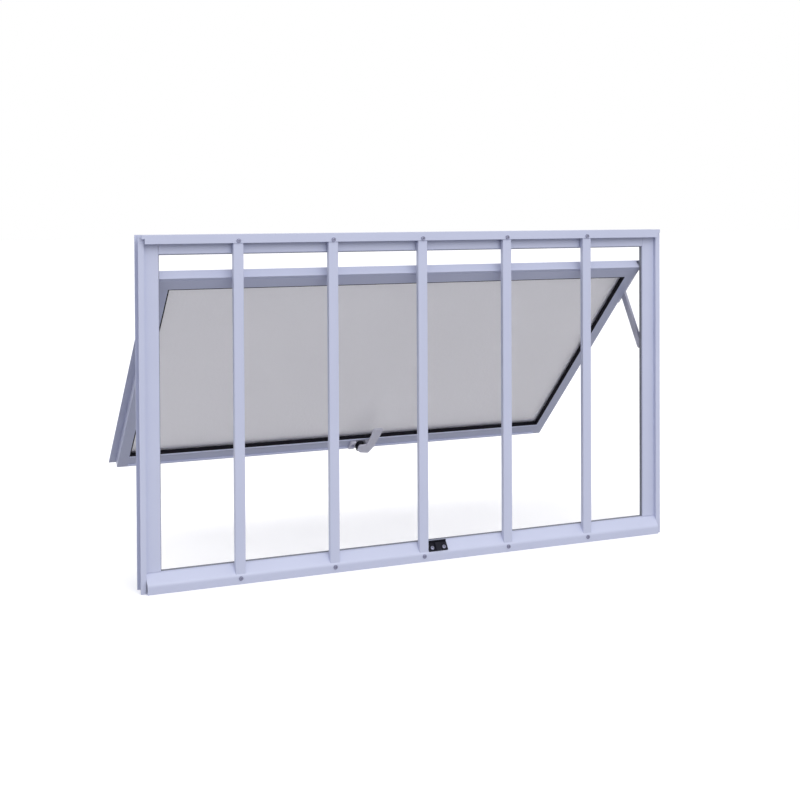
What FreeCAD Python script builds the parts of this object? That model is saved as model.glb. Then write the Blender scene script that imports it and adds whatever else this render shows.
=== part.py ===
import FreeCAD, Part
import os
import Sketcher

# Top hung awning window with a guard grille, aluminium, shown with its sash open.
# The room side faces -Y and the sash opens towards +Y. +Z is up. The origin is the middle of
# the sill's underside. The sash is drawn in its own frame, whose origin is the axis of its two
# slide shoes, and the stay linkage places it for the opening angle in the sheet.

# Driving dimensions, in millimetres and degrees
SIZES = {
    "frame_height": "595",
    "head_length": "1000",
    "frame_depth": "40",
    "wall": "1.5",
    "lip_setback": "8",
    "lip_reach": "8",
    "leg_setback": "15",
    "leg_return": "7",
    "jamb_leg": "26",
    "leg_round": "2",
    "flange_height": "15",
    "head_ear": "6.5",
    "head_ear_reach": "5",
    "sight_height": "33",
    "bevel_round": "6",
    "bevel_foot_round": "9",
    "track_front": "23",
    "track_reach": "12",
    "track_hook": "3.5",
    "frame_seal_flap": "1",
    "frame_seal_cover": "4",
    "frame_seal_width": "3",
    "frame_seal_depth": "3",
    "frame_seal_round": "1.2",
    "bar_width": "18",
    "bar_depth": "10",
    "bar_wall": "1.2",
    "bar_round": "1.5",
    "bar_pitch": "170.5",
    "sash_height": "560",
    "sash_depth": "18",
    "side_gap": "27.5",
    "top_gap": "27.5",
    "stile_width": "20",
    "top_rail_height": "28",
    "bottom_rail_height": "34",
    "side_flange": "13",
    "foot_flange": "6.5",
    "glazing_fin": "4",
    "drip_lip": "2",
    "drip_lip_reach": "3",
    "drip_lip_height": "5",
    "rail_bead": "1.5",
    "rail_bead_reach": "2.5",
    "rail_groove": "1.2",
    "rail_groove_depth": "0.8",
    "rail_groove_drop": "4",
    "glass_setback": "8",
    "glass_thickness": "4",
    "glass_edge_gap": "1",
    "glazing_seal_width": "2.5",
    "glazing_seal_round": "1.2",
    "pivot_inset": "6",
    "pivot_drop": "6",
    "open_angle": "46",
    "stay_reach": "80",
    "stay_arm_length": "112.5",
    "stay_arm_width": "14",
    "stay_arm_thickness": "5",
    "stay_plate_width": "12",
    "stay_plate_thickness": "3",
    "stay_plate_tail": "19",
    "stay_washer": "1",
    "pin_diameter": "6",
    "pin_head_diameter": "10",
    "pin_head_height": "1.5",
    "pin_play": "0.4",
    "boss_diameter": "12",
    "bracket_plate": "2.5",
    "bracket_length": "34",
    "shoe_length": "36",
    "shoe_play": "0.3",
    "shoe_neck": "0.5",
    "handle_offset": "31.5",
    "handle_clearance": "0.3",
    "handle_base_width": "44",
    "handle_base_height": "24",
    "handle_plate": "2.5",
    "handle_lug_width": "12",
    "handle_lug_depth": "8",
    "handle_lug_round": "2",
    "handle_pivot": "6",
    "lever_gap": "7",
    "lever_thickness": "3",
    "lever_foot_left": "7.5",
    "lever_foot_top": "15",
    "lever_foot_low": "2.5",
    "lever_toe_run": "1",
    "lever_toe_drop": "11.5",
    "lever_heel_run": "20.5",
    "lever_heel_drop": "15.5",
    "lever_elbow_run": "27.5",
    "lever_elbow_rise": "6.5",
    "lever_tip_run": "32.5",
    "lever_tip_rise": "71",
    "lever_tip_width": "26",
    "lever_waist_run": "10.5",
    "lever_waist_rise": "50",
    "lever_crook_run": "8",
    "lever_corner_round": "4",
    "lever_tip_round": "7",
    "lever_edge_round": "1.2",
    "keeper_gap": "0.6",
    "keeper_width": "37.4",
    "keeper_length": "19",
    "keeper_thickness": "2",
    "keeper_inset": "2",
    "keeper_round": "1",
    "keeper_screw_spacing": "23",
    "keeper_screw_rise": "8",
    "keeper_screw_hole": "3.4",
    "keeper_bridge_foot": "14",
    "keeper_bridge_top": "10",
    "keeper_bridge_height": "3.5",
    "keeper_bridge_length": "15",
    "keeper_lip": "2",
    "keeper_lip_height": "4",
}

GRILLE_BARS = 5
SIDES = {"left": 1, "right": -1}
SAME_PLACE = 0.01

doc = FreeCAD.newDocument("AwningWindow")
sheet = doc.addObject("Spreadsheet::Sheet", "Sizes")
for row, (alias, number) in enumerate(SIZES.items(), start=1):
    sheet.set(f"A{row}", alias)
    sheet.set(f"B{row}", number)
    sheet.setAlias(f"B{row}", alias)
doc.recompute()


def formula(terms, sign=1):
    """Turn a sum of size names, such as "wall + lip_reach", into a bound expression."""
    words = [word if word in "+-" or word[0].isdigit() else "Sizes." + word for word in terms.split()]
    text = " ".join(words)
    return text if sign > 0 else f"-({text})"


def amount(terms, sign=1):
    """Work out the same sum from the sheet, as a sketch's starting value."""
    total = 0.0
    direction = 1.0
    for word in terms.split():
        if word in "+-":
            direction = 1.0 if word == "+" else -1.0
            continue
        name, _, divisor = word.partition("/")
        number = float(name) if name[0].isdigit() else float(sheet.get(name))
        total += direction * number / float(divisor or 1)
    return sign * total


def new_body(label):
    """Start a sub-part whose label is its file's name."""
    body = doc.addObject("PartDesign::Body", label)
    body.Label = label
    return body


def place(body, x="0", y="0", z="0", turn=None):
    """Bind a sub-part's place, and its turn about the X direction, to the sheet."""
    body.Placement = FreeCAD.Placement(FreeCAD.Vector(), FreeCAD.Rotation(FreeCAD.Vector(1, 0, 0), 0))
    for axis, text in zip("xyz", (x, y, z)):
        body.setExpression(f"Placement.Base.{axis}", text)
    if turn:
        body.setExpression("Placement.Rotation.Angle", turn)


def new_sketch(body, plane, lift=None, sign=1):
    """Lay a sketch on one of the body's own planes, lifted along its normal."""
    sketch = body.newObject("Sketcher::SketchObject", f"{body.Label}_sketch")
    support = [face for face in body.Origin.OriginFeatures if face.Role == plane]
    sketch.AttachmentSupport = [(support[0], "")]
    sketch.MapMode = "FlatFace"
    if lift:
        sketch.setExpression("AttachmentOffset.Base.z", formula(lift, sign))
    return sketch


def bind(sketch, constraint, text):
    """Add a dimension to a sketch and bind it to the sheet."""
    index = sketch.addConstraint(constraint)
    name = f"size_{index}"
    sketch.renameConstraint(index, name)
    sketch.setExpression(f"Constraints.{name}", text)


def outline(sketch, corners, sign=1):
    """Draw a closed outline whose corners are pairs of sums; sign -1 mirrors the first of each."""
    points = [FreeCAD.Vector(amount(across, sign), amount(up), 0) for across, up in corners]
    first = sketch.GeometryCount
    count = len(points)
    for index in range(count):
        segment = Part.LineSegment(points[index], points[(index + 1) % count])
        sketch.addGeometry(segment, False)
    for index in range(count):
        after = first + (index + 1) % count
        sketch.addConstraint(Sketcher.Constraint("Coincident", first + index, 2, after, 1))
    for index, (across, up) in enumerate(corners):
        line = first + index
        start = points[index]
        bind(sketch, Sketcher.Constraint("DistanceX", -1, 1, line, 1, start.x), formula(across, sign))
        bind(sketch, Sketcher.Constraint("DistanceY", -1, 1, line, 1, start.y), formula(up))


def rectangle(sketch, left, right, low, high, sign=1):
    """Draw a rectangle between two sums each way."""
    outline(sketch, [(left, low), (right, low), (right, high), (left, high)], sign)


def circle(sketch, across, up, diameter):
    """Draw a circle at a pair of sums."""
    centre = FreeCAD.Vector(amount(across), amount(up), 0)
    index = sketch.addGeometry(Part.Circle(centre, FreeCAD.Vector(0, 0, 1), amount(diameter) / 2), False)
    bind(sketch, Sketcher.Constraint("DistanceX", -1, 1, index, 3, centre.x), formula(across))
    bind(sketch, Sketcher.Constraint("DistanceY", -1, 1, index, 3, centre.y), formula(up))
    bind(sketch, Sketcher.Constraint("Diameter", index, amount(diameter)), formula(diameter))


def link(sketch, low, high, width):
    """Draw a bar with round ends, standing on the sketch's vertical axis."""
    radius = amount(width) / 2
    bottom = FreeCAD.Vector(0, amount(low), 0)
    top = FreeCAD.Vector(0, amount(high), 0)
    across = FreeCAD.Vector(radius, 0, 0)
    along = FreeCAD.Vector(0, radius, 0)
    sketch.addGeometry(Part.Arc(top + across, top + along, top - across), False)
    sketch.addGeometry(Part.LineSegment(top - across, bottom - across), False)
    sketch.addGeometry(Part.Arc(bottom - across, bottom - along, bottom + across), False)
    sketch.addGeometry(Part.LineSegment(bottom + across, top + across), False)
    for index in range(4):
        sketch.addConstraint(Sketcher.Constraint("Tangent", index, 2, (index + 1) % 4, 1))
    sketch.addConstraint(Sketcher.Constraint("PointOnObject", 0, 3, -2))
    sketch.addConstraint(Sketcher.Constraint("PointOnObject", 2, 3, -2))
    bind(sketch, Sketcher.Constraint("DistanceY", -1, 1, 0, 3, top.y), formula(high))
    bind(sketch, Sketcher.Constraint("DistanceY", -1, 1, 2, 3, bottom.y), formula(low))
    bind(sketch, Sketcher.Constraint("Radius", 0, radius), f"Sizes.{width} / 2")


def pad(body, sketch, length, symmetric=False, reverse=False):
    """Raise a sketch by a sum of sizes."""
    feature = body.newObject("PartDesign::Pad", f"{body.Label}_pad")
    feature.Profile = sketch
    feature.setExpression("Length", formula(length))
    feature.SideType = "Symmetric" if symmetric else "One side"
    feature.Reversed = reverse
    sketch.Visibility = False
    doc.recompute()
    return feature


def bore(body, sketch):
    """Cut a sketch right through the body, both ways, and make sure that it cut."""
    before = body.Shape.Volume
    feature = body.newObject("PartDesign::Pocket", f"{body.Label}_pocket")
    feature.Profile = sketch
    feature.SideType = "Two sides"
    feature.Type = "ThroughAll"
    feature.Type2 = "ThroughAll"
    doc.recompute()
    if body.Shape.Volume >= before:
        raise RuntimeError(f"{body.Label}: the pocket cut nothing")


def round_edges(body, radius, wanted):
    """Fillet the edges of the finished body that a test picks out."""
    doc.recompute()
    base = body.Tip
    picked = []
    for index, edge in enumerate(base.Shape.Edges, start=1):
        if wanted(edge):
            picked.append(f"Edge{index}")
    if not picked:
        raise RuntimeError(f"{body.Label}: no edge to round")
    feature = body.newObject("PartDesign::Fillet", f"{body.Label}_fillet")
    feature.Base = (base, picked)
    feature.setExpression("Radius", formula(radius))
    doc.recompute()


def runs_along(edge, axis):
    """Tell whether an edge is straight and parallel to an axis of its body."""
    if edge.Curve.TypeId != "Part::GeomLine":
        return False
    direction = edge.tangentAt(edge.FirstParameter)
    across = [getattr(direction, other) for other in "xyz" if other != axis]
    return all(abs(share) < SAME_PLACE for share in across)


def lies_at(edge, **wanted):
    """Tell whether an edge's middle has the wanted coordinates."""
    middle = edge.CenterOfMass
    return all(abs(getattr(middle, axis) - number) < SAME_PLACE for axis, number in wanted.items())


def round_long_edge(body, radius, axis, **wanted):
    """Fillet the edges along an axis of an extrusion that lie at the wanted coordinates."""
    round_edges(body, radius, lambda edge: runs_along(edge, axis) and lies_at(edge, **wanted))


# Places that several sub-parts share
FRAME_Y = "-Sizes.frame_depth / 2"
TRACK_Y = "(Sizes.track_front + Sizes.frame_depth) / 2 - Sizes.frame_depth / 2"
ARM_ANGLE = "asin(Sizes.stay_reach * sin(Sizes.open_angle) / Sizes.stay_arm_length)"
CLOSED_PIVOT_Z = "Sizes.frame_height - Sizes.top_gap - Sizes.pivot_drop"
JAMB_PIVOT_Z = f"{CLOSED_PIVOT_Z} - Sizes.stay_reach - Sizes.stay_arm_length"
OPEN_PIVOT_Z = (
    f"{JAMB_PIVOT_Z} + Sizes.stay_reach * cos(Sizes.open_angle)"
    f" + Sizes.stay_arm_length * cos({ARM_ANGLE})"
)
BEVEL_ANGLE = "atan((Sizes.sight_height - Sizes.flange_height) / Sizes.leg_setback)"

# The sash's own faces, measured from the axis of its shoes
INNER_FACE = "0 - pivot_inset"
OUTER_FACE = "sash_depth - pivot_inset"
OUTER_WALL = "sash_depth - pivot_inset - wall"
GLASS_FACE = "glass_setback - pivot_inset"
BED_FACE = f"{GLASS_FACE} + glass_thickness"
BED_BACK = f"{BED_FACE} + wall"
SASH_TOP = "pivot_drop"
SASH_BOTTOM = "pivot_drop - sash_height"
SIGHT_TOP = "pivot_drop - top_rail_height"
SIGHT_BOTTOM = "pivot_drop - sash_height + bottom_rail_height"
SASH_EDGE = "side_gap - head_length/2"
SIGHT_EDGE = "side_gap - head_length/2 + stile_width"
SIGHT_LENGTH = "head_length - side_gap - side_gap - stile_width - stile_width"
BETWEEN_LEGS = "head_length - jamb_leg - jamb_leg"
LUG_GAP = "handle_base_width - handle_lug_width - handle_lug_width"
LEVER_REAR = "handle_lug_depth + lever_gap"

# The frame's seals, measured from the frame's front
LEG_BACK = "leg_setback + leg_return"
SEAL_START = f"{LEG_BACK} - frame_seal_cover"
SEAL_BACK = f"{LEG_BACK} + frame_seal_depth"


def place_on_sash(body):
    """Carry a sub-part on the sash, at its opening angle."""
    place(body, y=TRACK_Y, z=OPEN_PIVOT_Z, turn="Sizes.open_angle")


def side_x(side):
    """Give the place of a jamb's inner web face."""
    return f"{-SIDES[side]} * Sizes.head_length / 2"


def make_jamb(side):
    """Extrude a jamb: an outer channel, a room side leg on the sill's top and the shoe's hooked track."""
    sign = SIDES[side]
    body = new_body(f"jamb_{side}")
    place(body, x=side_x(side), y=FRAME_Y)
    outer = "0 - wall - lip_reach"
    back = "frame_depth - wall"
    channel = new_sketch(body, "XY_Plane")
    outline(channel, [
        (outer, "lip_setback"), ("0", "lip_setback"), ("0", "frame_depth"), (outer, "frame_depth"),
        (outer, back), ("0 - wall", back), ("0 - wall", "lip_setback + wall"), (outer, "lip_setback + wall"),
    ], sign)
    pad(body, channel, "frame_height")
    leg = new_sketch(body, "XY_Plane", "sight_height")
    edge = "jamb_leg - wall"
    outline(leg, [
        ("0", "leg_setback"), ("jamb_leg", "leg_setback"), ("jamb_leg", LEG_BACK),
        (edge, LEG_BACK), (edge, "leg_setback + wall"), ("0", "leg_setback + wall"),
    ], sign)
    pad(body, leg, "frame_height - wall - sight_height")
    round_long_edge(body, "leg_round", "z", x=amount("jamb_leg", sign), y=amount("leg_setback"))
    track = new_sketch(body, "XY_Plane", "wall")
    hook = "track_reach - wall"
    front_hook = "track_front + wall + track_hook"
    rear_hook = "frame_depth - wall - track_hook"
    outline(track, [
        ("0", "track_front"), ("track_reach", "track_front"), ("track_reach", front_hook),
        (hook, front_hook), (hook, "track_front + wall"), ("0", "track_front + wall"),
    ], sign)
    outline(track, [
        ("0", back), (hook, back), (hook, rear_hook),
        ("track_reach", rear_hook), ("track_reach", "frame_depth"), ("0", "frame_depth"),
    ], sign)
    pad(body, track, "frame_height - wall - wall")
    return body


def make_head():
    """Extrude the head: a front flange with ears over the jambs, and a leg set back behind the grille."""
    body = new_body("head")
    place(body, y=FRAME_Y, z="Sizes.frame_height")
    low = "0 - flange_height"
    section = new_sketch(body, "YZ_Plane")
    outline(section, [
        ("0", "0"), ("0", low), ("wall", low), ("wall", "0 - wall"),
        ("frame_depth", "0 - wall"), ("frame_depth", "0"),
    ])
    pad(body, section, "head_length", symmetric=True)
    ear = new_sketch(body, "YZ_Plane")
    rectangle(ear, "0", "wall", "0 - head_ear", "0")
    pad(body, ear, "head_length + head_ear_reach + head_ear_reach", symmetric=True)
    leg = new_sketch(body, "YZ_Plane")
    sight = "0 - sight_height"
    outline(leg, [
        ("leg_setback", "0 - wall"), ("leg_setback", sight), (LEG_BACK, sight),
        (LEG_BACK, "wall - sight_height"),
        ("leg_setback + wall", "wall - sight_height"), ("leg_setback + wall", "0 - wall"),
    ])
    pad(body, leg, BETWEEN_LEGS, symmetric=True)
    round_long_edge(body, "leg_round", "x", y=amount("leg_setback"), z=amount(sight))
    return body


def make_sill():
    """Extrude the sill: a front flange on the bottom web, and a rounded bevel up to the sight line."""
    body = new_body("sill")
    place(body, y=FRAME_Y)
    section = new_sketch(body, "YZ_Plane")
    outline(section, [
        ("0", "0"), ("frame_depth", "0"), ("frame_depth", "wall"), ("wall", "wall"),
        ("wall", "flange_height"), ("0", "flange_height"),
    ])
    pad(body, section, "head_length", symmetric=True)
    bevel = new_sketch(body, "YZ_Plane")
    inside = f"{LEG_BACK} - wall"
    under = "flange_height - wall/2"
    outline(bevel, [
        ("0", "flange_height"), ("0", under), ("wall", under),
        ("leg_setback + wall/2", "sight_height - wall"), (inside, "sight_height - wall"), (inside, "wall"),
        (LEG_BACK, "wall"), (LEG_BACK, "sight_height"), ("leg_setback", "sight_height"),
    ])
    pad(body, bevel, "head_length", symmetric=True)
    round_long_edge(body, "bevel_round", "x", y=amount("leg_setback"), z=amount("sight_height"))
    round_long_edge(body, "bevel_foot_round", "x", y=0, z=amount("flange_height"))
    return body


def make_grille_bar(number):
    """Extrude one guard bar: a flat tube behind the head's flange, its foot cut to the sill's bevel."""
    body = new_body(f"grille_bar_{number}")
    steps = number - (GRILLE_BARS + 1) / 2
    place(body, x=f"{steps} * Sizes.bar_pitch", y=FRAME_Y)
    tube = new_sketch(body, "XY_Plane", "flange_height")
    rectangle(tube, "0 - bar_width/2", "bar_width/2", "wall", "wall + bar_depth")
    pad(body, tube, "frame_height - wall - flange_height")
    round_edges(body, "bar_round", lambda edge: runs_along(edge, "z"))
    hollow = new_sketch(body, "XY_Plane")
    rectangle(hollow, "bar_wall - bar_width/2", "bar_width/2 - bar_wall",
              "wall + bar_wall", "wall + bar_depth - bar_wall")
    bore(body, hollow)
    bevel = new_sketch(body, "YZ_Plane")
    outline(bevel, [
        ("0", "0"), ("leg_setback", "0"), ("leg_setback", "sight_height"), ("0", "flange_height"),
    ])
    bore(body, bevel)
    return body


def make_frame_seal_side(side):
    """Extrude the weather seal on a jamb's turned edge: a flap over its inner side and a bulb behind."""
    sign = SIDES[side]
    body = new_body(f"frame_seal_{side}")
    place(body, x=side_x(side), y=FRAME_Y)
    inner = "jamb_leg + frame_seal_flap"
    section = new_sketch(body, "XY_Plane", "sight_height")
    outline(section, [
        ("jamb_leg", SEAL_START), (inner, SEAL_START), (inner, SEAL_BACK),
        (f"{inner} - frame_seal_width", SEAL_BACK), (f"{inner} - frame_seal_width", LEG_BACK),
        ("jamb_leg", LEG_BACK),
    ], sign)
    pad(body, section, "frame_height - sight_height - sight_height")
    round_long_edge(body, "frame_seal_round", "z", y=amount(SEAL_BACK))
    return body


def make_frame_seal_level(name, edge, face, bulb, base):
    """Extrude the seal on the head's or the sill's turned edge, with the same flap and bulb."""
    body = new_body(f"frame_seal_{name}")
    place(body, y=FRAME_Y, z=base)
    section = new_sketch(body, "YZ_Plane")
    outline(section, [
        (SEAL_START, edge), (SEAL_START, face), (SEAL_BACK, face),
        (SEAL_BACK, bulb), (LEG_BACK, bulb), (LEG_BACK, edge),
    ])
    pad(body, section, f"{BETWEEN_LEGS} - frame_seal_flap - frame_seal_flap", symmetric=True)
    round_long_edge(body, "frame_seal_round", "x", y=amount(SEAL_BACK))
    return body


def make_top_rail():
    """Extrude the sash's top rail: a grooved tube as long as the sash is wide, with a fin for the glass."""
    body = new_body("sash_top_rail")
    place_on_sash(body)
    groove_top = f"{SASH_TOP} - rail_groove_drop"
    groove_low = f"{groove_top} - rail_groove"
    groove_face = f"{INNER_FACE} + rail_groove_depth"
    tube = new_sketch(body, "YZ_Plane")
    outline(tube, [
        (INNER_FACE, SIGHT_TOP), (OUTER_FACE, SIGHT_TOP), (OUTER_FACE, SASH_TOP), (INNER_FACE, SASH_TOP),
        (INNER_FACE, groove_top), (groove_face, groove_top),
        (groove_face, groove_low), (INNER_FACE, groove_low),
    ])
    rectangle(tube, f"{INNER_FACE} + wall", OUTER_WALL, f"{SIGHT_TOP} + wall", f"{SASH_TOP} - wall")
    pad(body, tube, "head_length - side_gap - side_gap", symmetric=True)
    fin = new_sketch(body, "YZ_Plane")
    rectangle(fin, BED_FACE, BED_BACK, f"{SIGHT_TOP} - glazing_fin", SIGHT_TOP)
    pad(body, fin, SIGHT_LENGTH, symmetric=True)
    return body


def make_bottom_rail():
    """Extrude the sash's bottom rail: a tube between the stiles, with fin, flange, bead and drip lip."""
    body = new_body("sash_bottom_rail")
    place_on_sash(body)
    lip_low = f"{SASH_BOTTOM} + drip_lip_height"
    lip_top = f"{lip_low} + drip_lip"
    lip_face = f"{INNER_FACE} - drip_lip_reach"
    bead_low = f"{SIGHT_BOTTOM} - rail_bead"
    bead_face = f"{INNER_FACE} - rail_bead_reach"
    section = new_sketch(body, "YZ_Plane")
    outline(section, [
        (INNER_FACE, SASH_BOTTOM), (OUTER_WALL, SASH_BOTTOM), (OUTER_WALL, f"{SASH_BOTTOM} - foot_flange"),
        (OUTER_FACE, f"{SASH_BOTTOM} - foot_flange"), (OUTER_FACE, SIGHT_BOTTOM), (BED_BACK, SIGHT_BOTTOM),
        (BED_BACK, f"{SIGHT_BOTTOM} + glazing_fin"), (BED_FACE, f"{SIGHT_BOTTOM} + glazing_fin"),
        (BED_FACE, SIGHT_BOTTOM),
        (bead_face, SIGHT_BOTTOM), (bead_face, bead_low), (INNER_FACE, bead_low),
        (INNER_FACE, lip_top), (lip_face, lip_top), (lip_face, lip_low), (INNER_FACE, lip_low),
    ])
    rectangle(section, f"{INNER_FACE} + wall", OUTER_WALL, f"{SASH_BOTTOM} + wall", f"{SIGHT_BOTTOM} - wall")
    pad(body, section, SIGHT_LENGTH, symmetric=True)
    return body


def make_stile(side):
    """Extrude a sash stile: a tube with an outer flange over the frame's edge and a fin for the glass."""
    sign = SIDES[side]
    body = new_body(f"sash_stile_{side}")
    place_on_sash(body)
    tube = new_sketch(body, "XY_Plane", SASH_BOTTOM)
    rectangle(tube, SASH_EDGE, SIGHT_EDGE, INNER_FACE, OUTER_FACE, sign)
    rectangle(tube, f"{SASH_EDGE} + wall", f"{SIGHT_EDGE} - wall", f"{INNER_FACE} + wall", OUTER_WALL, sign)
    pad(body, tube, "sash_height - top_rail_height")
    flange = new_sketch(body, "XY_Plane", f"{SASH_BOTTOM} - foot_flange")
    rectangle(flange, f"{SASH_EDGE} - side_flange", SASH_EDGE, OUTER_WALL, OUTER_FACE, sign)
    pad(body, flange, "sash_height + foot_flange")
    foot = new_sketch(body, "XY_Plane", f"{SASH_BOTTOM} - foot_flange")
    rectangle(foot, SASH_EDGE, SIGHT_EDGE, OUTER_WALL, OUTER_FACE, sign)
    pad(body, foot, "foot_flange")
    fin = new_sketch(body, "XY_Plane", f"{SIGHT_BOTTOM} + glazing_fin")
    rectangle(fin, SIGHT_EDGE, f"{SIGHT_EDGE} + glazing_fin", BED_FACE, BED_BACK, sign)
    pad(body, fin, "sash_height - top_rail_height - bottom_rail_height - glazing_fin - glazing_fin")
    return body


def make_glass():
    """Make the pane, bedded on the sash's fins."""
    body = new_body("glass_pane")
    place_on_sash(body)
    pane = new_sketch(body, "YZ_Plane")
    rectangle(pane, GLASS_FACE, BED_FACE, f"{SIGHT_BOTTOM} + glass_edge_gap", f"{SIGHT_TOP} - glass_edge_gap")
    pad(body, pane, f"{SIGHT_LENGTH} - glass_edge_gap - glass_edge_gap", symmetric=True)
    return body


def make_glazing_seal_side(side):
    """Extrude an upright seal between a stile and the pane, with a rounded front edge."""
    sign = SIDES[side]
    body = new_body(f"glazing_seal_{side}")
    place_on_sash(body)
    section = new_sketch(body, "XY_Plane", SIGHT_BOTTOM)
    rectangle(section, SIGHT_EDGE, f"{SIGHT_EDGE} + glazing_seal_width", INNER_FACE, GLASS_FACE, sign)
    pad(body, section, "sash_height - top_rail_height - bottom_rail_height")
    rounded = amount(f"{SIGHT_EDGE} + glazing_seal_width", sign)
    round_long_edge(body, "glazing_seal_round", "z", x=rounded, y=amount(INNER_FACE))
    return body


def make_glazing_seal_level(name, low, high, rounded):
    """Extrude a level seal between a rail and the pane, with a rounded front edge."""
    body = new_body(f"glazing_seal_{name}")
    place_on_sash(body)
    section = new_sketch(body, "YZ_Plane")
    rectangle(section, INNER_FACE, GLASS_FACE, low, high)
    pad(body, section, f"{SIGHT_LENGTH} - glazing_seal_width - glazing_seal_width", symmetric=True)
    round_long_edge(body, "glazing_seal_round", "x", y=amount(INNER_FACE), z=amount(rounded))
    return body


def make_stay_plate(side):
    """Make the stay's plate on the stile's outer side, with holes for the shoe's pin and the rivet."""
    body = new_body(f"stay_plate_{side}")
    outside = f"{-SIDES[side]} * (Sizes.head_length / 2 - Sizes.side_gap)"
    place(body, x=outside, y=TRACK_Y, z=OPEN_PIVOT_Z, turn="Sizes.open_angle")
    shape = new_sketch(body, "YZ_Plane")
    link(shape, "0 - stay_reach - stay_plate_tail", "0", "stay_plate_width")
    circle(shape, "0", "0", "pin_diameter + pin_play")
    circle(shape, "0", "0 - stay_reach", "pin_diameter + pin_play")
    pad(body, shape, "stay_plate_thickness", reverse=SIDES[side] > 0)
    return body


def make_stay_arm(side):
    """Make the stay's arm, from its pin on the jamb to its rivet on the sash."""
    body = new_body(f"stay_arm_{side}")
    stack = "Sizes.side_gap - Sizes.stay_plate_thickness - Sizes.stay_washer"
    place(body, x=f"{-SIDES[side]} * (Sizes.head_length / 2 - ({stack}))", y=TRACK_Y, z=JAMB_PIVOT_Z,
          turn=f"-{ARM_ANGLE}")
    shape = new_sketch(body, "YZ_Plane")
    link(shape, "0", "stay_arm_length", "stay_arm_width")
    circle(shape, "0", "0", "pin_diameter + pin_play")
    circle(shape, "0", "stay_arm_length", "pin_diameter + pin_play")
    pad(body, shape, "stay_arm_thickness", reverse=SIDES[side] > 0)
    return body


def add_disc(body, side, start, length, diameter, height="0"):
    """Add a round pin or head along X, from a distance measured inwards from the body's origin."""
    sign = SIDES[side]
    disc = new_sketch(body, "YZ_Plane", start, sign)
    circle(disc, "0", height, diameter)
    pad(body, disc, length, reverse=sign < 0)


def make_stay_rivet(side):
    """Make the rivet that joins arm and plate, with its head outside and a washer between them."""
    body = new_body(f"stay_rivet_{side}")
    drop = "0 - stay_reach"
    reach = "stay_plate_thickness + stay_washer + stay_arm_thickness + pin_head_height"
    outside = f"{-SIDES[side]} * (Sizes.head_length / 2 - Sizes.side_gap + {formula(reach)})"
    place(body, x=outside, y=TRACK_Y, z=OPEN_PIVOT_Z, turn="Sizes.open_angle")
    add_disc(body, side, "0", "pin_head_height", "pin_head_diameter", drop)
    add_disc(body, side, "0", reach, "pin_diameter", drop)
    add_disc(body, side, "pin_head_height + stay_arm_thickness", "stay_washer", "pin_head_diameter", drop)
    return body


def make_stay_bracket(side):
    """Make the arm's bracket on the jamb's track: a foot plate, a boss and a headed pin."""
    body = new_body(f"stay_bracket_{side}")
    place(body, x=f"{-SIDES[side]} * (Sizes.head_length / 2 - Sizes.track_reach)", y=TRACK_Y, z=JAMB_PIVOT_Z)
    foot = new_sketch(body, "YZ_Plane")
    rectangle(foot, "track_front/2 - frame_depth/2", "frame_depth/2 - track_front/2",
              "0 - bracket_length/2", "bracket_length/2")
    pad(body, foot, "bracket_plate", reverse=SIDES[side] < 0)
    arm_front = "side_gap - stay_plate_thickness - stay_washer - track_reach"
    add_disc(body, side, "0", f"{arm_front} - stay_arm_thickness", "boss_diameter")
    add_disc(body, side, "0", arm_front, "pin_diameter")
    add_disc(body, side, arm_front, "stay_washer", "pin_head_diameter")
    return body


def make_slide_shoe(side):
    """Make the shoe that slides in the jamb's track and carries the sash on its pin."""
    sign = SIDES[side]
    body = new_body(f"slide_shoe_{side}")
    place(body, x=side_x(side), y=TRACK_Y, z=OPEN_PIVOT_Z)
    inside = "track_reach - wall - shoe_play"
    block = new_sketch(body, "XY_Plane", "0 - shoe_length/2")
    rectangle(block, "shoe_play", inside, "track_front/2 - frame_depth/2 + wall + shoe_play",
              "frame_depth/2 - track_front/2 - wall - shoe_play", sign)
    pad(body, block, "shoe_length")
    neck = new_sketch(body, "XY_Plane", "0 - shoe_length/2")
    rectangle(neck, inside, "track_reach + shoe_neck",
              "track_front/2 - frame_depth/2 + wall + track_hook + shoe_play",
              "frame_depth/2 - track_front/2 - wall - track_hook - shoe_play", sign)
    pad(body, neck, "shoe_length")
    add_disc(body, side, "track_reach", "side_gap - stay_plate_thickness - track_reach", "boss_diameter")
    add_disc(body, side, "track_reach", "side_gap - track_reach", "pin_diameter")
    return body


def place_handle(body, depth="0"):
    """Put a piece of the handle on the bottom rail's inside face, just over the drip lip."""
    inwards = f"(Sizes.pivot_inset + {depth})"
    seat = f"{SASH_BOTTOM} + drip_lip_height + drip_lip + handle_clearance + handle_base_height/2"
    along = f"({formula(seat)})"
    place(
        body, x="Sizes.handle_offset",
        y=f"{TRACK_Y} - {inwards} * cos(Sizes.open_angle) - {along} * sin(Sizes.open_angle)",
        z=f"{OPEN_PIVOT_Z} - {inwards} * sin(Sizes.open_angle) + {along} * cos(Sizes.open_angle)",
        turn="Sizes.open_angle",
    )


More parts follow.
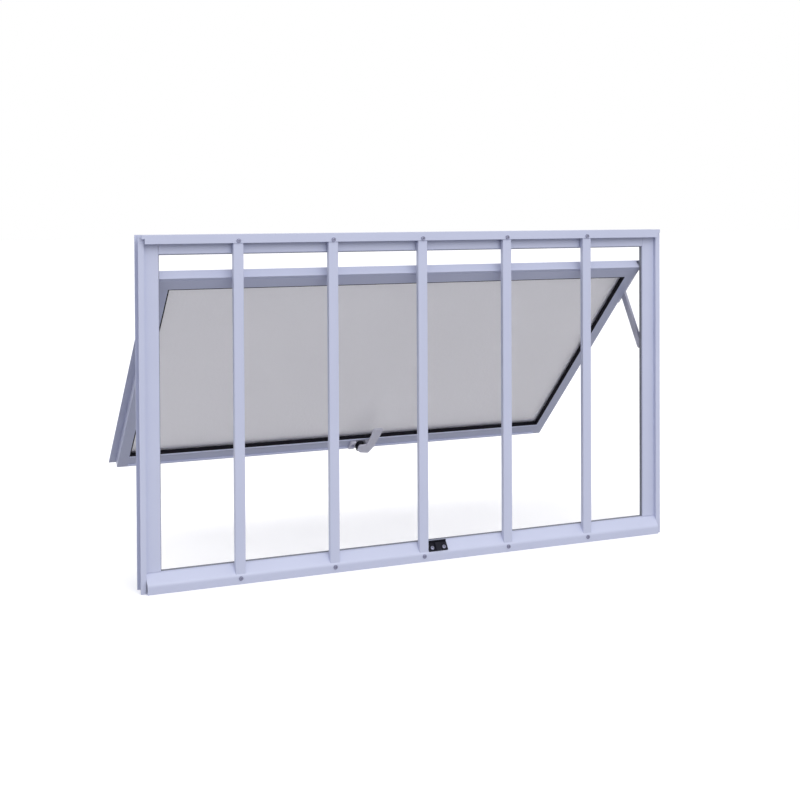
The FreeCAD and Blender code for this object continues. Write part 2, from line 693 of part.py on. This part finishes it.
def make_handle_base():
    """Make the handle's base: a plate with two lugs and the hub's pivot between them."""
    body = new_body("handle_base")
    place_handle(body)
    edge = "handle_base_width/2"
    low = "0 - handle_base_height/2"
    high = "handle_base_height/2"
    plate = new_sketch(body, "XZ_Plane")
    rectangle(plate, f"0 - {edge}", edge, low, high)
    pad(body, plate, "handle_plate")
    lugs = new_sketch(body, "XZ_Plane")
    rectangle(lugs, f"0 - {edge}", f"handle_lug_width - {edge}", low, high)
    rectangle(lugs, f"{edge} - handle_lug_width", edge, low, high)
    pad(body, lugs, "handle_lug_depth")
    front = -amount("handle_lug_depth")
    round_edges(body, "handle_lug_round", lambda found: lies_at(found, y=front))
    pivot = new_sketch(body, "XZ_Plane")
    circle(pivot, "0", "0", "handle_pivot")
    pad(body, pivot, LEVER_REAR)
    return body


def make_handle_hub():
    """Make the round hub that turns on the base's pivot and carries the lever."""
    body = new_body("handle_hub")
    place_handle(body)
    drum = new_sketch(body, "XZ_Plane", "handle_plate + handle_clearance")
    circle(drum, "0", "0", f"{LUG_GAP} - handle_clearance - handle_clearance")
    circle(drum, "0", "0", "handle_pivot + pin_play")
    pad(body, drum, f"{LEVER_REAR} - handle_plate - handle_clearance")
    return body


def make_handle_lever():
    """Make the lever: a hooked plate on the hub that turns up in front of the pane."""
    body = new_body("handle_lever")
    place_handle(body)
    hook = new_sketch(body, "XZ_Plane", LEVER_REAR)
    outline(hook, [
        ("0 - lever_foot_left", "lever_foot_top"), ("0 - lever_foot_left", "0 - lever_foot_low"),
        ("lever_toe_run", "0 - lever_toe_drop"), ("lever_heel_run", "0 - lever_heel_drop"),
        ("lever_elbow_run", "lever_elbow_rise"), ("lever_tip_run", "lever_tip_rise"),
        ("lever_tip_run - lever_tip_width", "lever_tip_rise"), ("lever_waist_run", "lever_waist_rise"),
        ("lever_crook_run", "lever_foot_top"),
    ])
    pad(body, hook, "lever_thickness")
    tip = amount("lever_tip_rise")
    round_edges(body, "lever_tip_round", lambda edge: runs_along(edge, "y") and lies_at(edge, z=tip))
    corners = [("lever_foot_left", -1, "lever_foot_top", 1), ("lever_foot_left", -1, "lever_foot_low", -1),
               ("lever_toe_run", 1, "lever_toe_drop", -1), ("lever_heel_run", 1, "lever_heel_drop", -1),
               ("lever_crook_run", 1, "lever_foot_top", 1)]
    for across, way, up, lift in corners:
        round_long_edge(body, "lever_corner_round", "y", x=amount(across, way), z=amount(up, lift))
    front = -amount(f"{LEVER_REAR} + lever_thickness")
    round_edges(body, "lever_edge_round", lambda edge: lies_at(edge, y=front))
    return body


def make_keeper():
    """Make the keeper on the bevel beside the middle bar: a drilled plate, a bridge and a lip behind."""
    body = new_body("keeper_plate")
    beside_bar = "Sizes.bar_width / 2 + Sizes.keeper_gap + Sizes.keeper_width / 2"
    place(body, x=beside_bar, y=FRAME_Y, z="Sizes.flange_height", turn=BEVEL_ANGLE)
    far = "keeper_inset + keeper_length"
    plate = new_sketch(body, "XY_Plane")
    rectangle(plate, "0 - keeper_width/2", "keeper_width/2", "keeper_inset", far)
    for side in ("0 - keeper_screw_spacing/2", "keeper_screw_spacing/2"):
        circle(plate, side, "keeper_screw_rise", "keeper_screw_hole")
    pad(body, plate, "keeper_thickness")
    round_edges(body, "keeper_round", lambda edge: runs_along(edge, "z"))
    bridge = new_sketch(body, "XZ_Plane", "keeper_inset", -1)
    top = "keeper_thickness + keeper_bridge_height"
    outline(bridge, [
        ("0 - keeper_bridge_foot/2", "0"), ("keeper_bridge_foot/2", "0"),
        ("keeper_bridge_top/2", top), ("0 - keeper_bridge_top/2", top),
    ])
    pad(body, bridge, "keeper_bridge_length", reverse=True)
    lip = new_sketch(body, "XY_Plane")
    end = "keeper_width/2 - keeper_round"
    rectangle(lip, "keeper_round - keeper_width/2", end, f"{far} - keeper_lip", far)
    pad(body, lip, "keeper_thickness + keeper_lip_height")
    return body


parts = [make_head(), make_sill()]
for side in SIDES:
    parts.append(make_jamb(side))
    parts.append(make_frame_seal_side(side))
head_face = "0 - sight_height - frame_seal_flap"
parts.append(make_frame_seal_level("head", "0 - sight_height", head_face, f"{head_face} + frame_seal_width",
                                   "Sizes.frame_height"))
sill_face = "sight_height + frame_seal_flap"
parts.append(make_frame_seal_level("sill", "sight_height", sill_face, f"{sill_face} - frame_seal_width", "0"))
for number in range(1, GRILLE_BARS + 1):
    parts.append(make_grille_bar(number))
parts += [make_top_rail(), make_bottom_rail(), make_glass()]
parts.append(make_glazing_seal_level("top", f"{SIGHT_TOP} - glazing_seal_width", SIGHT_TOP,
                                     f"{SIGHT_TOP} - glazing_seal_width"))
parts.append(make_glazing_seal_level("bottom", SIGHT_BOTTOM, f"{SIGHT_BOTTOM} + glazing_seal_width",
                                     f"{SIGHT_BOTTOM} + glazing_seal_width"))
for side in SIDES:
    parts.append(make_stile(side))
    parts.append(make_glazing_seal_side(side))
    parts.append(make_stay_plate(side))
    parts.append(make_stay_arm(side))
    parts.append(make_stay_rivet(side))
    parts.append(make_stay_bracket(side))
    parts.append(make_slide_shoe(side))
parts += [make_handle_base(), make_handle_hub(), make_handle_lever(), make_keeper()]

# Nothing is written unless every object and every solid is sound
doc.recompute()
for item in doc.Objects:
    if "Invalid" in item.State or "Error" in item.State:
        raise RuntimeError(f"{item.Label} failed: {item.State}")
for part in parts:
    if part.Shape.isNull() or not part.Shape.isValid() or len(part.Shape.Solids) != 1:
        raise RuntimeError(f"{part.Label} is not one sound solid")
os.makedirs("parts", exist_ok=True)
for part in parts:
    part.Shape.exportStep(f"parts/{part.Label}.step")
    print(f"{part.Label}: {part.Shape.Volume:.0f} mm3")
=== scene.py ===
import logging
import math
from collections.abc import Callable, Iterable
from dataclasses import dataclass, field
from enum import Enum
from typing import Any

import bmesh
import bpy
from mathutils import Matrix, Vector


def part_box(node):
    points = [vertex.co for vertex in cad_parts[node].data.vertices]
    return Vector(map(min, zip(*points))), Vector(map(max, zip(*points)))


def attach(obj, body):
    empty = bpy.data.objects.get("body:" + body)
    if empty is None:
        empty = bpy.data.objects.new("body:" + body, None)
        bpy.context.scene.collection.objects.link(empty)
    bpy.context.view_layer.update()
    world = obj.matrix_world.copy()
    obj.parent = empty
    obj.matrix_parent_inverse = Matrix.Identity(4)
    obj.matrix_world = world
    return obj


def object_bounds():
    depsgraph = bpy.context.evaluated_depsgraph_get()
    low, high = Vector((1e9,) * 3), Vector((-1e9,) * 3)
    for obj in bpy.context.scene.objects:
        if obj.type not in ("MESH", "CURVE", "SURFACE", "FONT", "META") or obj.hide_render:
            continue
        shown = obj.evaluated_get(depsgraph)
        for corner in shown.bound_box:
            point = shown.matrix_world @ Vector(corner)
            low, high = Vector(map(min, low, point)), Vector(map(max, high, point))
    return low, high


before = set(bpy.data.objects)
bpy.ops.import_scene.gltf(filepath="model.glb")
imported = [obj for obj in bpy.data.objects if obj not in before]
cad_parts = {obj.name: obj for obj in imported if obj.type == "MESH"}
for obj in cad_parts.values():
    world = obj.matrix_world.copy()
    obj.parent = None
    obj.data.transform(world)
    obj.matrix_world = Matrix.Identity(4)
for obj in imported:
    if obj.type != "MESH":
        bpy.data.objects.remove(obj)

# A top hung awning window of powder coated aluminium, with its sash open and a guard grille on
# the room side. The room side faces -Y, the sash opens towards +Y, and sizes are in metres.

MM = 0.001
BODY = "root"
CAD_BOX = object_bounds()
NODES: dict[str, bpy.types.Object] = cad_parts

# How closely a face's normal has to follow an axis to count as looking along it.
STRAIGHT = 0.99

# The colour mix node's sockets, which share their names with its other data types.
MIX_FIRST = 6
MIX_SECOND = 7
MIX_RESULT = 2

log = logging.getLogger("awning_window")


class Slot(Enum):
    """The material slots that the record gives this window."""

    WHITE_ALUMINIUM = "white_aluminium"
    OBSCURE_GLASS = "obscure_glass"
    BLACK_RUBBER = "black_rubber"
    STAY_STEEL = "stay_steel"
    BLACK_NYLON = "black_nylon"
    GREY_DIE_CAST = "grey_die_cast"
    DARK_DIE_CAST = "dark_die_cast"


class Side(Enum):
    """The two sides of the window, seen from the room."""

    LEFT = "left"
    RIGHT = "right"


def linear(code: str) -> tuple[float, float, float, float]:
    """Turn an sRGB hex code into a linear colour.

    Args:
        code: Six hex digits after a number sign.

    Returns:
        Red, green, blue and an alpha of one.
    """
    shares = [int(code[start:start + 2], 16) / 255 for start in (1, 3, 5)]
    parts = [share / 12.92 if share <= 0.04045 else ((share + 0.055) / 1.055) ** 2.4 for share in shares]
    return (parts[0], parts[1], parts[2], 1.0)


def per_metre(size_mm: float) -> float:
    """Give the texture scale whose pattern repeats about every size_mm."""
    return 1.0 / (size_mm * MM)


def add_node(
    tree: bpy.types.NodeTree,
    kind: str,
    inputs: dict[str | int, Any] | None = None,
    links: dict[str | int, bpy.types.NodeSocket] | None = None,
    **properties: Any,
) -> bpy.types.Node:
    """Add a node with its settings and the links that feed it.

    Args:
        tree: The node tree of a material or of the world.
        kind: The node's type.
        inputs: Values for its sockets.
        links: Sockets of other nodes that feed its sockets.
        properties: Settings of the node itself.

    Returns:
        The new node.
    """
    node = tree.nodes.new(kind)
    for name, value in properties.items():
        setattr(node, name, value)
    for socket, value in (inputs or {}).items():
        node.inputs[socket].default_value = value
    for socket, source in (links or {}).items():
        tree.links.new(source, node.inputs[socket])
    return node


@dataclass(frozen=True)
class Finish:
    """A real material with a fine surface texture, the start of every finish here."""

    name: str
    slot: Slot
    colour: str
    shade: str
    roughness: float
    grain_mm: float
    grain_height_mm: float
    mottle_mm: float = 90.0
    mottle_detail: float = 3.0
    grain_detail: float = 2.0
    metallic: float = 0.0
    transmission: float = 0.0
    ior: float = 1.5

    def relief(self, tree: bpy.types.NodeTree, place: bpy.types.NodeSocket) -> bpy.types.NodeSocket:
        """Draw the surface texture's height.

        Args:
            tree: The material's nodes.
            place: Object coordinates.

        Returns:
            The socket with the height.
        """
        grain = add_node(tree, "ShaderNodeTexNoise",
                         {"Scale": per_metre(self.grain_mm), "Detail": self.grain_detail},
                         {"Vector": place})
        return grain.outputs["Fac"]

    def material(self) -> bpy.types.Material:
        """Build the material once, or give back the one that is there.

        Returns:
            The finish as a procedural material.
        """
        found = bpy.data.materials.get(self.name)
        if found:
            return found
        made = bpy.data.materials.new(self.name)
        made.use_nodes = True
        tree = made.node_tree
        shader = tree.nodes["Principled BSDF"]
        place = add_node(tree, "ShaderNodeTexCoord").outputs["Object"]
        mottle = add_node(tree, "ShaderNodeTexNoise",
                          {"Scale": per_metre(self.mottle_mm), "Detail": self.mottle_detail},
                          {"Vector": place})
        tint = add_node(tree, "ShaderNodeMix",
                        {MIX_FIRST: linear(self.shade), MIX_SECOND: linear(self.colour)},
                        {"Factor": mottle.outputs["Fac"]}, data_type="RGBA")
        bump = add_node(tree, "ShaderNodeBump", {"Strength": 1.0, "Distance": self.grain_height_mm * MM},
                        {"Height": self.relief(tree, place)})
        tree.links.new(tint.outputs[MIX_RESULT], shader.inputs["Base Color"])
        tree.links.new(bump.outputs["Normal"], shader.inputs["Normal"])
        shader.inputs["Roughness"].default_value = self.roughness
        shader.inputs["Metallic"].default_value = self.metallic
        shader.inputs["Transmission Weight"].default_value = self.transmission
        if not self.metallic:
            shader.inputs["IOR"].default_value = self.ior
        return made


@dataclass(frozen=True)
class RolledGlass(Finish):
    """Obscure glass whose rollers press soft pebbles into one face."""

    softness: float = 0.8

    def relief(self, tree: bpy.types.NodeTree, place: bpy.types.NodeSocket) -> bpy.types.NodeSocket:
        """Draw the pebbles' height.

        Args:
            tree: The material's nodes.
            place: Object coordinates.

        Returns:
            The socket with the height.
        """
        pebbles = add_node(tree, "ShaderNodeTexVoronoi",
                           {"Scale": per_metre(self.grain_mm), "Smoothness": self.softness},
                           {"Vector": place}, feature="SMOOTH_F1")
        return pebbles.outputs["Distance"]


@dataclass(frozen=True)
class BrushedStrip(Finish):
    """Rolled metal strip, whose fine lines run along the stay's length."""

    stretch: float = 0.05

    def relief(self, tree: bpy.types.NodeTree, place: bpy.types.NodeSocket) -> bpy.types.NodeSocket:
        """Draw the rolling lines' height.

        Args:
            tree: The material's nodes.
            place: Object coordinates.

        Returns:
            The socket with the height.
        """
        drawn = add_node(tree, "ShaderNodeMapping", {"Scale": (1.0, 1.0, self.stretch)}, {"Vector": place})
        lines = add_node(tree, "ShaderNodeTexNoise",
                         {"Scale": per_metre(self.grain_mm), "Detail": self.grain_detail},
                         {"Vector": drawn.outputs["Vector"]})
        return lines.outputs["Fac"]


# Sprayed and baked powder: a satin skin with a faint orange peel, pale lavender in this light.
# Real peel is under 1 mm across and is drawn coarser so that it shows.
POWDER_COAT = Finish("Powder coated aluminium", Slot.WHITE_ALUMINIUM, "#C3C8E0", "#BCC1DA", 0.42, 2.5, 0.02)

# Rolled obscure glass: grey and milky, it lets light through but no picture.
OBSCURE_GLASS = RolledGlass("Rolled obscure glass", Slot.OBSCURE_GLASS, "#D9D8DD", "#D3D2D7", 0.4, 5.0, 0.25,
                            mottle_mm=260.0, transmission=0.75, ior=1.52)

# Extruded rubber: nearly black and matt, with a soft sheen on its round edges.
BLACK_RUBBER = Finish("Extruded black rubber", Slot.BLACK_RUBBER, "#0D0D18", "#090912", 0.7, 1.5, 0.03,
                      ior=1.25)

# The frame's weather strip: the same rubber, weathered to a mid grey.
GREY_RUBBER = Finish("Weathered grey rubber", Slot.BLACK_RUBBER, "#8A8D98", "#7E818C", 0.75, 1.5, 0.03,
                     ior=1.25)

# Rolled stainless strip: light grey with a blurred gloss along its length.
STRIP_STEEL = BrushedStrip("Rolled stainless strip", Slot.STAY_STEEL, "#C4C5D4", "#B9BACA", 0.42, 1.2, 0.01,
                           metallic=0.35)

# Zinc plated steel: the screws' bluish grey, bright on the crown and darker round the rim.
ZINC_PLATE = Finish("Zinc plated steel", Slot.STAY_STEEL, "#8C8DA2", "#7C7D92", 0.3, 1.0, 0.01, metallic=1.0)

# Moulded nylon: black with a waxy sheen.
NYLON = Finish("Moulded black nylon", Slot.BLACK_NYLON, "#12121C", "#0D0D15", 0.5, 1.5, 0.02, ior=1.3)

# Lacquered zinc die casting: smooth grey metal paint, faintly uneven.
GREY_CASTING = Finish("Grey lacquered die casting", Slot.GREY_DIE_CAST, "#C4C4D2", "#B8B8C6", 0.36, 2.0, 0.02,
                      mottle_mm=30.0, metallic=0.3)

# The same casting in dark lacquer, for the keeper.
DARK_CASTING = Finish("Dark lacquered die casting", Slot.DARK_DIE_CAST, "#1C1C28", "#15151F", 0.6, 2.0, 0.03,
                      mottle_mm=30.0, ior=1.25)


def dress(names: Iterable[str], finish: Finish) -> None:
    """Give CAD nodes a finish.

    Args:
        names: The nodes.
        finish: What they are made of.
    """
    for name in names:
        node = NODES[name]
        if not node.material_slots:
            node.data.materials.append(None)
        for slot in node.material_slots:
            slot.material = finish.material()
        log.info("dressed %s in %s", name, finish.name)


def both(stem: str) -> list[str]:
    """Name the left and the right node of a pair."""
    return [f"{stem}_{side.value}" for side in Side]


def span(name: str, direction: Vector) -> tuple[float, float]:
    """Measure how far a CAD node reaches along a direction.

    Args:
        name: The node.
        direction: A unit vector.

    Returns:
        The lowest and the highest reach, in metres.
    """
    reaches = [vertex.co.dot(direction) for vertex in NODES[name].data.vertices]
    return (min(reaches), max(reaches))


def start_piece() -> None:
    """Leave edit mode and deselect everything, so that the next operator acts on its own piece."""
    if bpy.context.object and bpy.context.object.mode != "OBJECT":
        bpy.ops.object.mode_set(mode="OBJECT")
    bpy.ops.object.select_all(action="DESELECT")


def select_faces(piece: bpy.types.Object, wanted: Callable[[Vector], bool]) -> None:
    """Select a piece's faces in edit mode by their normal.

    Args:
        piece: The mesh that is being edited.
        wanted: Tells from a face's normal whether to select it.
    """
    bpy.ops.mesh.select_mode(type="FACE")
    bpy.ops.mesh.select_all(action="DESELECT")
    shape = bmesh.from_edit_mesh(piece.data)
    for face in shape.faces:
        face.select_set(wanted(face.normal))
    bmesh.update_edit_mesh(piece.data)


def faces_up(normal: Vector) -> bool:
    """Tell whether a face looks straight up."""
    return normal.z > STRAIGHT


def faces_down(normal: Vector) -> bool:
    """Tell whether a face looks straight down."""
    return normal.z < -STRAIGHT


@dataclass
class PanHeadScrew:
    """A pan head screw with a cross recess, modelled once and copied to each place."""

    head_radius: float = 3.75 * MM
    head_height: float = 2.2 * MM
    crown: float = 1.1 * MM
    crown_steps: int = 4
    sunk: float = 0.4 * MM
    recess_length: float = 3.8 * MM
    recess_width: float = 1.0 * MM
    recess_depth: float = 1.3 * MM
    recess_taper: float = 0.55
    rim_points: int = 32
    smooth_angle: float = math.radians(35)
    master: bpy.types.Object | None = field(default=None, init=False)

    def head(self) -> bpy.types.Object:
        """Turn a cylinder into a crowned head that stands on z = 0.

        Returns:
            The head.
        """
        start_piece()
        height = self.head_height + self.sunk
        bpy.ops.mesh.primitive_cylinder_add(vertices=self.rim_points, radius=self.head_radius, depth=height,
                                            location=(0, 0, self.head_height - height / 2))
        head = bpy.context.object
        bpy.ops.object.mode_set(mode="EDIT")
        select_faces(head, faces_up)
        bpy.ops.mesh.bevel(offset=self.crown, segments=self.crown_steps, affect="EDGES")
        bpy.ops.object.mode_set(mode="OBJECT")
        bpy.ops.object.transform_apply(location=True, rotation=True, scale=True)
        return head

    def recess(self) -> bpy.types.Object:
        """Shape the tapered cross that is cut into the head.

        Returns:
            The cutter.
        """
        start_piece()
        height = self.recess_depth * 2
        bpy.ops.mesh.primitive_cube_add(size=1.0, location=(0, 0, self.head_height),
                                        scale=(self.recess_length, self.recess_width, height))
        cross = bpy.context.object
        bpy.ops.object.transform_apply(location=True, rotation=True, scale=True)
        bpy.ops.object.mode_set(mode="EDIT")
        select_faces(cross, faces_down)
        bpy.ops.transform.resize(value=(self.recess_taper, self.recess_taper, 1.0))
        bpy.ops.mesh.select_all(action="SELECT")
        bpy.ops.mesh.duplicate()
        bpy.ops.transform.rotate(value=math.pi / 2, orient_axis="Z", center_override=(0, 0, 0))
        bpy.ops.object.mode_set(mode="OBJECT")
        return cross

    def model(self) -> None:
        """Cut the recess into the head and keep the result as the master."""
        head = self.head()
        cross = self.recess()
        start_piece()
        head.select_set(True)
        bpy.context.view_layer.objects.active = head
        cut = head.modifiers.new("Cross recess", "BOOLEAN")
        cut.object = cross
        cut.operation = "DIFFERENCE"
        cut.solver = "EXACT"
        cut.use_self = True
        bpy.ops.object.modifier_apply(modifier=cut.name)
        bpy.ops.object.shade_smooth_by_angle(angle=self.smooth_angle)
        bpy.data.objects.remove(cross, do_unlink=True)
        self.master = head

    def copy_to(self, name: str, seat: Vector, outward: Vector, finish: Finish) -> None:
        """Set a copy with its own mesh on a surface.

        Args:
            name: The new piece's name.
            seat: Where the head's underside meets the surface.
            outward: The surface's normal.
            finish: What the screw is made of.
        """
        turn = outward.to_track_quat("Z", "Y").to_matrix().to_4x4()
        mesh = self.master.data.copy()
        mesh.transform(Matrix.Translation(seat) @ turn)
        mesh.materials.clear()
        mesh.materials.append(finish.material())
        screw = bpy.data.objects.new(name, mesh)
        bpy.context.scene.collection.objects.link(screw)
        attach(screw, BODY)
        log.info("added %s", name)

    def discard(self) -> None:
        """Remove the master once its copies are in place."""
        bpy.data.objects.remove(self.master, do_unlink=True)


@dataclass
class GrilleFrame:
    """The fixed frame with its seals, its guard bars and the bars' screws."""

    bar_count: int = 5
    head_screw_drop: float = 11.25 * MM
    sill_screw_rise: float = 9.9 * MM

    def bars(self) -> list[str]:
        """Name the guard bars from left to right."""
        return [f"grille_bar_{number}" for number in range(1, self.bar_count + 1)]

    def dress(self) -> None:
        """Finish the frame, the bars and the seals."""
        dress(["head", "sill", *both("jamb"), *self.bars()], POWDER_COAT)
        dress(["frame_seal_head", "frame_seal_sill", *both("frame_seal")], GREY_RUBBER)

    def add_screws(self, screw: PanHeadScrew) -> None:
        """Screw each bar to the flanges of head and sill.

        Args:
            screw: The screw to copy.
        """
        front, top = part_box("head")[0][1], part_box("head")[1][2]
        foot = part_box("sill")[0][2]
        room = Vector((0, -1, 0))
        for bar in self.bars():
            low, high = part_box(bar)
            middle = (low[0] + high[0]) / 2
            above = Vector((middle, front, top - self.head_screw_drop))
            below = Vector((middle, front, foot + self.sill_screw_rise))
            screw.copy_to(f"{bar}_head_screw", above, room, ZINC_PLATE)
            screw.copy_to(f"{bar}_sill_screw", below, room, ZINC_PLATE)


@dataclass
class OpenSash:
    """The glazed sash, swung out at the foot."""

    open_angle: float = math.radians(46)

    def inward(self) -> Vector:
        """Give the normal of the sash's room side."""
        return Vector((0, -math.cos(self.open_angle), -math.sin(self.open_angle)))

    def upward(self) -> Vector:
        """Give the direction up along the sash."""
        return Vector((0, -math.sin(self.open_angle), math.cos(self.open_angle)))

    def dress(self) -> None:
        """Finish the rails, the stiles, the pane and its seals."""
        dress(["sash_top_rail", "sash_bottom_rail", *both("sash_stile")], POWDER_COAT)
        dress(["glass_pane"], OBSCURE_GLASS)
        dress(["glazing_seal_top", "glazing_seal_bottom", *both("glazing_seal")], BLACK_RUBBER)


@dataclass
class Stays:
    """The two stays: shoe, plate, arm, rivet and bracket on each side."""

    steel_pieces: tuple[str, ...] = ("stay_plate", "stay_arm", "stay_rivet", "stay_bracket")

    def dress(self) -> None:
        """Finish both stays and their slide shoes."""
        for stem in self.steel_pieces:
            dress(both(stem), STRIP_STEEL)
        dress(both("slide_shoe"), NYLON)


@dataclass
class Latch:
    """The lever handle on the sash, its hub and its keeper on the sill."""

    sash: OpenSash
    lug_width: float = 12.0 * MM
    lug_depth: float = 8.0 * MM
    bevel_rise: float = 18.0 * MM
    bevel_run: float = 15.0 * MM
    keeper_thickness: float = 2.0 * MM
    keeper_screw_spacing: float = 23.0 * MM
    keeper_screw_rise: float = 6.0 * MM

    def dress(self) -> None:
        """Finish the handle and the keeper."""
        dress(["handle_base", "handle_lever"], GREY_CASTING)
        dress(["handle_hub"], NYLON)
        dress(["keeper_plate"], DARK_CASTING)

    def add_handle_screw(self, screw: PanHeadScrew) -> None:
        """Screw the handle's free lug to the rail.

        Args:
            screw: The screw to copy.
        """
        inward = self.sash.inward()
        upward = self.sash.upward()
        front = span("handle_base", inward)[0] + self.lug_depth
        middle = sum(span("handle_base", upward)) / 2
        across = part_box("handle_base")[0][0] + self.lug_width / 2
        seat = Vector((across, 0, 0)) + inward * front + upward * middle
        screw.copy_to("handle_base_screw", seat, inward, ZINC_PLATE)

    def add_keeper_screws(self, screw: PanHeadScrew) -> None:
        """Screw the keeper to the sill's bevel.

        Args:
            screw: The screw to copy.
        """
        along = Vector((0, self.bevel_run, self.bevel_rise)).normalized()
        outward = Vector((0, -self.bevel_rise, self.bevel_run)).normalized()
        level = span("keeper_plate", outward)[0] + self.keeper_thickness
        rise = span("keeper_plate", along)[0] + self.keeper_screw_rise
        low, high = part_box("keeper_plate")
        middle = (low[0] + high[0]) / 2
        for side, way in ((Side.LEFT, -1), (Side.RIGHT, 1)):
            across = Vector((middle + way * self.keeper_screw_spacing / 2, 0, 0))
            seat = across + outward * level + along * rise
            screw.copy_to(f"keeper_screw_{side.value}", seat, outward, ZINC_PLATE)


@dataclass
class Studio:
    """A pale floor, soft light and the camera at the photograph's angle."""

    photo_width: float = 800.0
    focal_pixels: float = 1265.27
    sensor_mm: float = 36.0
    centre_row: float = 235.0
    camera_place: tuple[float, float, float] = (-0.91903, -2.09802, 0.62838)
    azimuth: float = math.radians(22.811)
    pitch: float = math.radians(-0.9698)
    roll: float = math.radians(-0.284)
    floor_size: float = 60.0
    floor_gap: float = 0.3 * MM
    floor_colour: str = "#F8F8FA"
    floor_glow: float = 0.22
    floor_roughness: float = 0.9
    floor_specular: float = 0.1
    sky_colour: str = "#FFFFFF"
    ground_colour: str = "#76767F"
    ground_end: float = -0.3
    sky_start: float = -0.06
    key_power: float = 60.0
    key_size: float = 2.6
    key_place: tuple[float, float, float] = (0.2, -3.4, 2.7)

    def add_floor(self) -> None:
        """Lay the floor just under the sill; it catches shadows but lends the window no colour."""
        start_piece()
        bpy.ops.mesh.primitive_plane_add(size=self.floor_size, location=(0, 0, -self.floor_gap))
        floor = bpy.context.object
        floor.name = "floor"
        bpy.ops.object.transform_apply(location=True, rotation=True, scale=True)
        floor.visible_diffuse = False
        paint = bpy.data.materials.new("Matt floor paint")
        paint.use_nodes = True
        shader = paint.node_tree.nodes["Principled BSDF"]
        shader.inputs["Base Color"].default_value = linear(self.floor_colour)
        shader.inputs["Emission Color"].default_value = linear(self.floor_colour)
        shader.inputs["Emission Strength"].default_value = self.floor_glow
        shader.inputs["Roughness"].default_value = self.floor_roughness
        shader.inputs["Specular IOR Level"].default_value = self.floor_specular
        floor.data.materials.append(paint)

    def add_sky(self) -> None:
        """Light the window from a white sky over a dimmer ground."""
        world = bpy.data.worlds.new("Soft white studio")
        world.use_nodes = True
        bpy.context.scene.world = world
        tree = world.node_tree
        place = add_node(tree, "ShaderNodeTexCoord").outputs["Generated"]
        axes = add_node(tree, "ShaderNodeSeparateXYZ", links={"Vector": place})
        blend = add_node(tree, "ShaderNodeMapRange",
                         {"From Min": self.ground_end, "From Max": self.sky_start},
                         {"Value": axes.outputs["Z"]}, interpolation_type="SMOOTHSTEP")
        tint = add_node(tree, "ShaderNodeMix",
                        {MIX_FIRST: linear(self.ground_colour), MIX_SECOND: linear(self.sky_colour)},
                        {"Factor": blend.outputs["Result"]}, data_type="RGBA")
        tree.links.new(tint.outputs[MIX_RESULT], tree.nodes["Background"].inputs["Color"])

    def add_key_light(self) -> None:
        """Hang one large soft light in front of the window."""
        lamp = bpy.data.lights.new("Key softbox", "AREA")
        lamp.energy = self.key_power
        lamp.size = self.key_size
        light = bpy.data.objects.new("Key softbox", lamp)
        bpy.context.scene.collection.objects.link(light)
        place = Vector(self.key_place)
        aim = (CAD_BOX[0] + CAD_BOX[1]) / 2 - place
        light.matrix_world = Matrix.Translation(place) @ aim.to_track_quat("-Z", "Y").to_matrix().to_4x4()

    def add_camera(self) -> None:
        """Stand the camera where the photograph was taken from."""
        level = math.cos(self.pitch)
        forward = Vector((math.sin(self.azimuth) * level, math.cos(self.azimuth) * level,
                          math.sin(self.pitch)))
        right = Vector((math.cos(self.azimuth), -math.sin(self.azimuth), 0))
        above = right.cross(forward)
        across = right * math.cos(self.roll) + above * math.sin(self.roll)
        up = above * math.cos(self.roll) - right * math.sin(self.roll)
        lens = bpy.data.cameras.new("Photograph's camera")
        lens.sensor_width = self.sensor_mm
        lens.lens = self.focal_pixels / self.photo_width * self.sensor_mm
        lens.shift_y = (self.centre_row - self.photo_width / 2) / self.photo_width
        camera = bpy.data.objects.new("Photograph's camera", lens)
        bpy.context.scene.collection.objects.link(camera)
        turn = Matrix((across, up, -forward)).transposed().to_4x4()
        camera.matrix_world = Matrix.Translation(Vector(self.camera_place)) @ turn
        bpy.context.scene.camera = camera

    def build(self) -> None:
        """Set up the whole studio."""
        bpy.context.scene.view_settings.view_transform = "Standard"
        self.add_floor()
        self.add_sky()
        self.add_key_light()
        self.add_camera()


def main() -> None:
    """Dress the CAD nodes, add the screws and set up the studio."""
    logging.basicConfig(level=logging.INFO, format="%(name)s: %(message)s")
    grille_frame = GrilleFrame()
    sash = OpenSash()
    latch = Latch(sash)
    for part in (grille_frame, sash, Stays(), latch):
        part.dress()
    screw = PanHeadScrew()
    screw.model()
    grille_frame.add_screws(screw)
    latch.add_handle_screw(screw)
    latch.add_keeper_screws(screw)
    screw.discard()
    Studio().build()


if __name__ == "__main__":
    main()
